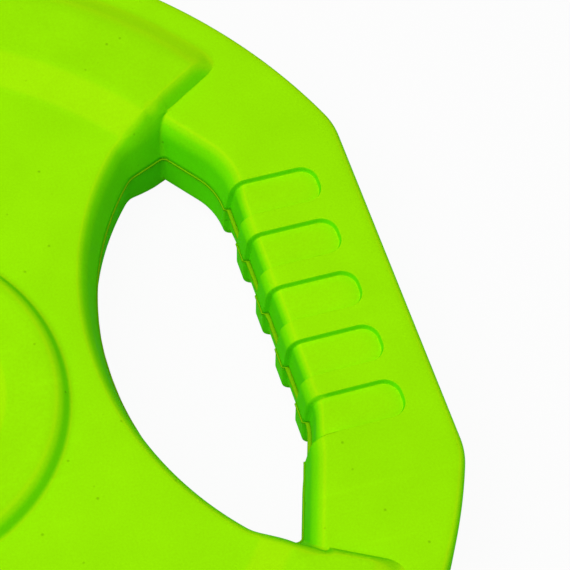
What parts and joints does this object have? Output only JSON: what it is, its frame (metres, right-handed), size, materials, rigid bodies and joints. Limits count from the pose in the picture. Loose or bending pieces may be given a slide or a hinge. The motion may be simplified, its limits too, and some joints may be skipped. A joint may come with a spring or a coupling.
{
  "type": "weight plate",
  "caption": "Round rubber-covered weight plate with hand grips, finger pockets, a raised rim and hub, and a steel-lined bore",
  "frame": {"origin": "on the bore axis, in the parting plane midway between the plate's two faces", "axes": "+Z along the bore, square to both faces; +X through the middle of a grip"},
  "size_m": [0.3197, 0.33, 0.038],
  "materials": {
    "rubber": "semi-matte",
    "iron": "as cast",
    "steel": "turned"
  },
  "bodies": {
    "root": {"front_cover": "rubber", "back_cover": "rubber", "core": "iron", "bore_sleeve": "steel"}
  },
  "joints": []
}
